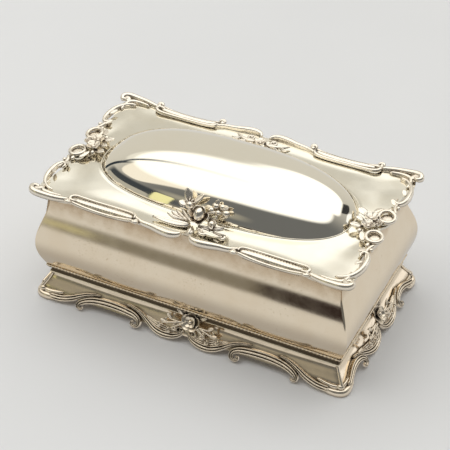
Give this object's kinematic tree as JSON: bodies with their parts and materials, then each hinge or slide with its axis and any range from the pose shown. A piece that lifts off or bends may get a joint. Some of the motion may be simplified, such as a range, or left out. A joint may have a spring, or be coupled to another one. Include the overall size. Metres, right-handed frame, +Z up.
{
  "type": "vanity trinket box",
  "caption": "Rectangular silver casket with swelling walls, a flared scroll-edged base and a domed lid hinged at the back, lined with velvet.",
  "frame": {"origin": "centre of the footprint, on the surface the feet stand on", "axes": "+X along the length to the right as seen from the front, +Y towards the hinge at the back, +Z up"},
  "size_m": [0.2122, 0.1222, 0.1008],
  "materials": {
    "mirror_silver": "mirror-polished silver with hairline wear",
    "lid_silver": "polished silver sheet, slightly hazed",
    "wall_silver": "softly polished silver sheet with fine scratches",
    "plain_silver": "plain silver sheet",
    "cast_silver": "polished cast silver, dark in the hollows",
    "aged_silver": "tarnished silver with a yellow-brown tone",
    "aged_cast_silver": "cast silver, tarnished, dark in the hollows",
    "hinge_silver": "worn silver hinge",
    "velvet": "short-pile velvet",
    "leather": "thin leather over board"
  },
  "bodies": {
    "case": {"front_wall": "wall_silver", "right_wall": "wall_silver", "back_wall": "wall_silver", "left_wall": "wall_silver", "mouth_frame": "plain_silver", "bottom_plate": "plain_silver", "plinth_moulding": "aged_silver", "rope_wire": "aged_silver", "base_board": "leather", "front_skirt": "aged_silver", "right_skirt": "aged_silver", "back_skirt": "aged_silver", "left_skirt": "aged_silver", "foot_border_front": "aged_cast_silver", "foot_border_right": "aged_cast_silver", "foot_border_back": "aged_cast_silver", "foot_border_left": "aged_cast_silver", "foot_corner_front_left": "aged_cast_silver", "foot_corner_front_right": "aged_cast_silver", "foot_corner_back_right": "aged_cast_silver", "foot_corner_back_left": "aged_cast_silver", "foot_spray_front": "aged_cast_silver", "foot_spray_right": "aged_cast_silver", "foot_spray_back": "aged_cast_silver", "foot_spray_left": "aged_cast_silver", "pad_front": "velvet", "pad_right": "velvet", "pad_back": "velvet", "pad_left": "velvet", "pad_floor": "velvet", "case_hinge_leaf": "hinge_silver", "hinge_pin": "hinge_silver"},
    "lid": {"lid_hinge_leaf": "hinge_silver", "lid_plate": "lid_silver", "lid_flange": "plain_silver", "dome": "mirror_silver", "dome_bead": "mirror_silver", "lid_border_front": "cast_silver", "lid_border_right": "cast_silver", "lid_border_back": "cast_silver", "lid_border_left": "cast_silver", "lid_corner_front_left": "cast_silver", "lid_corner_front_right": "cast_silver", "lid_corner_back_right": "cast_silver", "lid_corner_back_left": "cast_silver", "thumbpiece_spray": "cast_silver", "lid_spray_right": "cast_silver", "lid_spray_back": "cast_silver", "lid_spray_left": "cast_silver", "lid_pad": "velvet"}
  },
  "joints": [
    {"name": "lid_hinge", "type": "hinge", "parent": "case", "child": "lid", "pos_m": [0, 0.0525, 0.075], "axis": [-1, 0, 0], "range_deg": [0, 100]}
  ]
}
